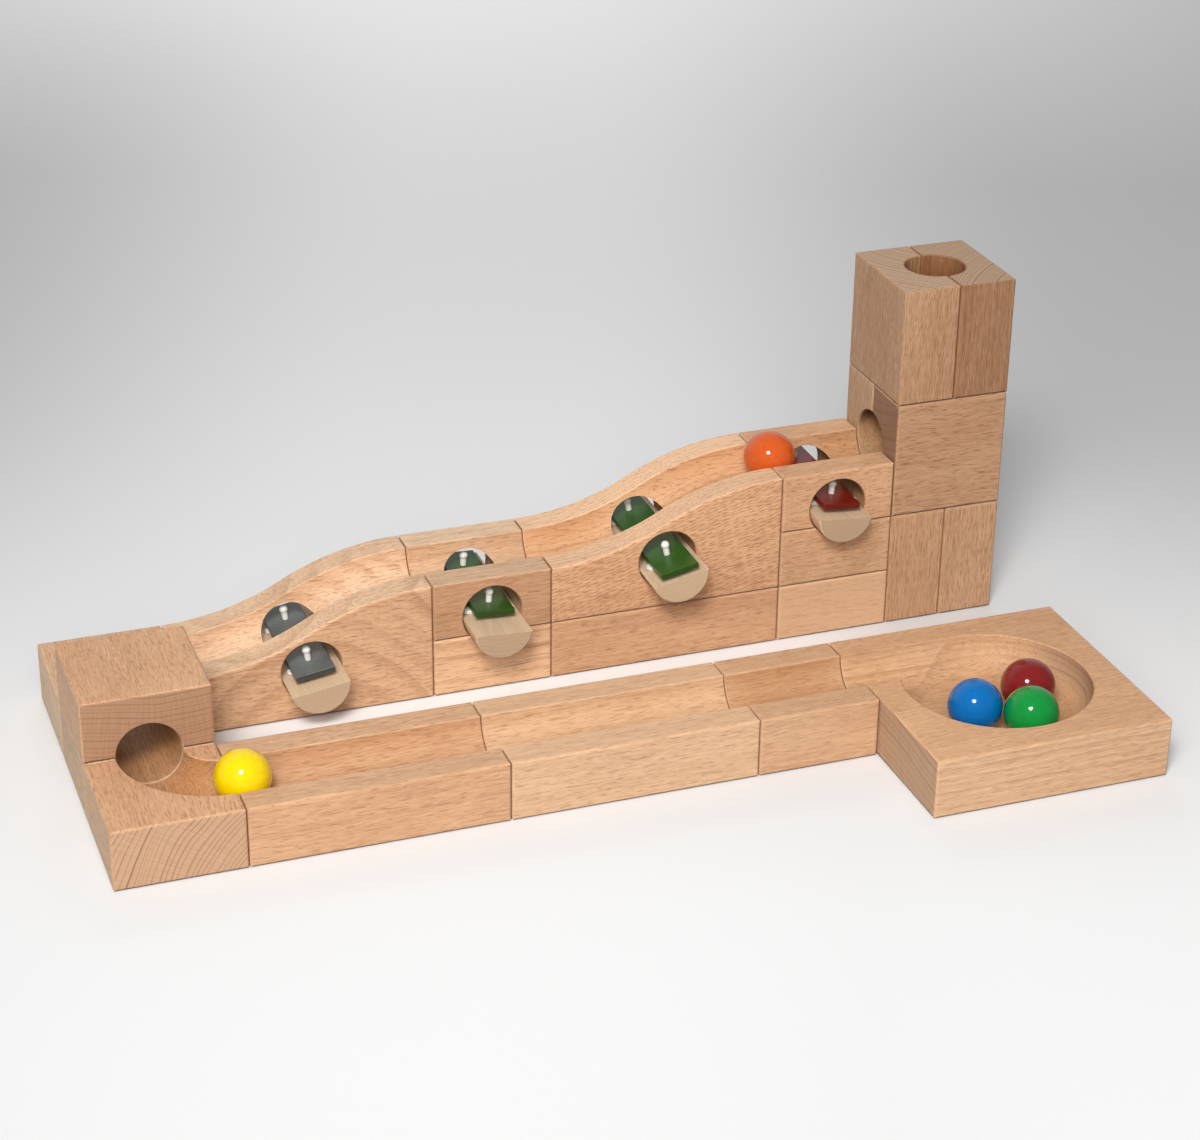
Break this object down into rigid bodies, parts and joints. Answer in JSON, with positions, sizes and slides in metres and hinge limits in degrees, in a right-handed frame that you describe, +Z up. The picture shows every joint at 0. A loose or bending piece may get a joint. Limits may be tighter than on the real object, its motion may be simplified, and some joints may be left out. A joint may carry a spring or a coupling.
{
  "type": "musical marble run",
  "caption": "Marble run of loose beech blocks: drop tower, stepped back row with ramps and tuned chime inserts, tunnel, flat front row and a catch basin for marbles.",
  "frame": {"origin": "centre of the layout's footprint, on the floor", "axes": "+X along the rows from the tunnel end to the tower end, +Y from the front row to the back row, +Z up"},
  "size_m": [0.4796, 0.2592, 0.18],
  "materials": {
    "beech": "sanded, bare, satin",
    "dowel_wood": "sanded, bare",
    "slate_paint": "satin paint",
    "moss_paint": "satin paint",
    "brick_paint": "satin paint",
    "felt": "matte felt",
    "pin": "smooth, matte",
    "yellow_gloss": "high gloss",
    "orange_gloss": "high gloss",
    "blue_gloss": "high gloss",
    "green_gloss": "high gloss",
    "red_gloss": "high gloss"
  },
  "bodies": {
    "layout": {"front_corner": "beech", "front_gutter_a": "beech", "front_gutter_b": "beech", "front_gutter_short": "beech", "catch_basin": "beech", "tunnel_floor": "beech", "rear_corner": "beech", "low_ramp": "beech", "low_flat": "beech", "low_base": "beech", "high_ramp": "beech", "long_base": "beech", "high_flat": "beech", "upper_base": "beech", "lower_base": "beech", "tower_foot_left": "beech", "tower_foot_right": "beech"},
    "tunnel_cap": {"tunnel_cap": "beech"},
    "drop_block": {"drop_front": "beech", "drop_rear": "beech"},
    "tube_left": {"tube_left": "beech"},
    "tube_right": {"tube_right": "beech"},
    "low_ramp_chime": {"low_ramp_dowel": "dowel_wood", "low_ramp_felts": "felt", "low_ramp_pins": "pin"},
    "low_ramp_bar": {"low_ramp_plate": "slate_paint"},
    "low_flat_chime": {"low_flat_dowel": "dowel_wood", "low_flat_felts": "felt", "low_flat_pins": "pin"},
    "low_flat_bar": {"low_flat_plate": "moss_paint"},
    "high_ramp_chime": {"high_ramp_dowel": "dowel_wood", "high_ramp_felts": "felt", "high_ramp_pins": "pin"},
    "high_ramp_bar": {"high_ramp_plate": "moss_paint"},
    "high_flat_chime": {"high_flat_dowel": "dowel_wood", "high_flat_felts": "felt", "high_flat_pins": "pin"},
    "high_flat_bar": {"high_flat_plate": "brick_paint"},
    "marble_yellow": {"marble_yellow": "yellow_gloss"},
    "marble_orange": {"marble_orange": "orange_gloss"},
    "marble_blue": {"marble_blue": "blue_gloss"},
    "marble_green": {"marble_green": "green_gloss"},
    "marble_red": {"marble_red": "red_gloss"}
  },
  "joints": [
    {"name": "tunnel_cap_lift", "type": "slide", "parent": "layout", "child": "tunnel_cap", "axis": [0, 0, 1], "range_m": [0, 0.04]},
    {"name": "drop_block_lift", "type": "slide", "parent": "layout", "child": "drop_block", "axis": [0, 0, 1], "range_m": [0, 0.05]},
    {"name": "tube_left_lift", "type": "slide", "parent": "drop_block", "child": "tube_left", "axis": [0, 0, 1], "range_m": [0, 0.05]},
    {"name": "tube_right_lift", "type": "slide", "parent": "drop_block", "child": "tube_right", "axis": [0, 0, 1], "range_m": [0, 0.05]},
    {"name": "low_ramp_chime_pull", "type": "slide", "parent": "layout", "child": "low_ramp_chime", "axis": [0, -1, 0], "range_m": [0, 0.04]},
    {"name": "low_ramp_bar_bounce", "type": "slide", "parent": "low_ramp_chime", "child": "low_ramp_bar", "axis": [-0.1564, 0, 0.9877], "range_m": [0, 0.002]},
    {"name": "low_flat_chime_pull", "type": "slide", "parent": "layout", "child": "low_flat_chime", "axis": [0, -1, 0], "range_m": [0, 0.04]},
    {"name": "low_flat_bar_bounce", "type": "slide", "parent": "low_flat_chime", "child": "low_flat_bar", "axis": [0.0523, 0, 0.9986], "range_m": [0, 0.002]},
    {"name": "high_ramp_chime_pull", "type": "slide", "parent": "layout", "child": "high_ramp_chime", "axis": [0, -1, 0], "range_m": [0, 0.04]},
    {"name": "high_ramp_bar_bounce", "type": "slide", "parent": "high_ramp_chime", "child": "high_ramp_bar", "axis": [-0.2079, 0, 0.9781], "range_m": [0, 0.002]},
    {"name": "high_flat_chime_pull", "type": "slide", "parent": "layout", "child": "high_flat_chime", "axis": [0, -1, 0], "range_m": [0, 0.04]},
    {"name": "high_flat_bar_bounce", "type": "slide", "parent": "high_flat_chime", "child": "high_flat_bar", "axis": [0.0872, 0, 0.9962], "range_m": [0, 0.002]},
    {"name": "yellow_roll", "type": "slide", "parent": "layout", "child": "marble_yellow", "axis": [1, 0, 0], "range_m": [0, 0.28]},
    {"name": "orange_roll", "type": "hinge", "parent": "layout", "child": "marble_orange", "pos_m": [0.12, 0.08015, -0.0375], "axis": [0, -1, 0], "range_deg": [0, 20]},
    {"name": "blue_lift", "type": "slide", "parent": "layout", "child": "marble_blue", "axis": [0, 0, 1], "range_m": [0, 0.06]},
    {"name": "green_lift", "type": "slide", "parent": "layout", "child": "marble_green", "axis": [0, 0, 1], "range_m": [0, 0.06]},
    {"name": "red_lift", "type": "slide", "parent": "layout", "child": "marble_red", "axis": [0, 0, 1], "range_m": [0, 0.06]}
  ]
}
